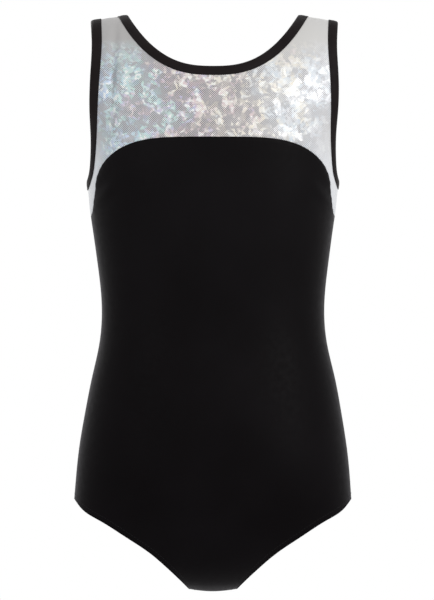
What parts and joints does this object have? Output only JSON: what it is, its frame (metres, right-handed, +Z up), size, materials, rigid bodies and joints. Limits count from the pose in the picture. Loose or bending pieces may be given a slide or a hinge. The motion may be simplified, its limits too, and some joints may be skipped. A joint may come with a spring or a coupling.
{
  "type": "gymnastics leotard",
  "caption": "Sleeveless scoop-neck gymnastics leotard in its worn shape: shimmering yoke, black body with an arched seam, bound neck and armholes, elastic leg hems.",
  "frame": {"origin": "on the shoulder line, midway between the two straps, at the height of their highest points, where a hanger or the wearer's shoulders hold the garment", "axes": "+Z up along the body, the wearer faces -Y, the wearer's left side is +X"},
  "size_m": [0.2784, 0.1893, 0.5811],
  "materials": {
    "black_spandex": "satin",
    "hologram_spandex": "satin",
    "binding_spandex": "satin",
    "lining_tricot": "matte",
    "elastic_tape": "matte",
    "thread": "matte",
    "label_satin": "satin"
  },
  "bodies": {
    "root": {"back_body_panel": "black_spandex", "back_yoke": "hologram_spandex", "back_yoke_seam": "thread", "care_label": "label_satin", "crotch_seam": "thread", "front_body_panel": "black_spandex", "front_lining": "lining_tricot", "front_yoke": "hologram_spandex", "front_yoke_seam": "thread", "gusset_lining": "lining_tricot", "left_armhole_binding": "binding_spandex", "left_armhole_elastic": "elastic_tape", "left_leg_elastic": "elastic_tape", "left_leg_hem": "black_spandex", "left_shoulder_seam": "thread", "left_side_seam": "thread", "neck_binding": "binding_spandex", "neck_elastic": "elastic_tape", "right_armhole_binding": "binding_spandex", "right_armhole_elastic": "elastic_tape", "right_leg_elastic": "elastic_tape", "right_leg_hem": "black_spandex", "right_shoulder_seam": "thread", "right_side_seam": "thread", "size_label": "label_satin"}
  },
  "joints": []
}
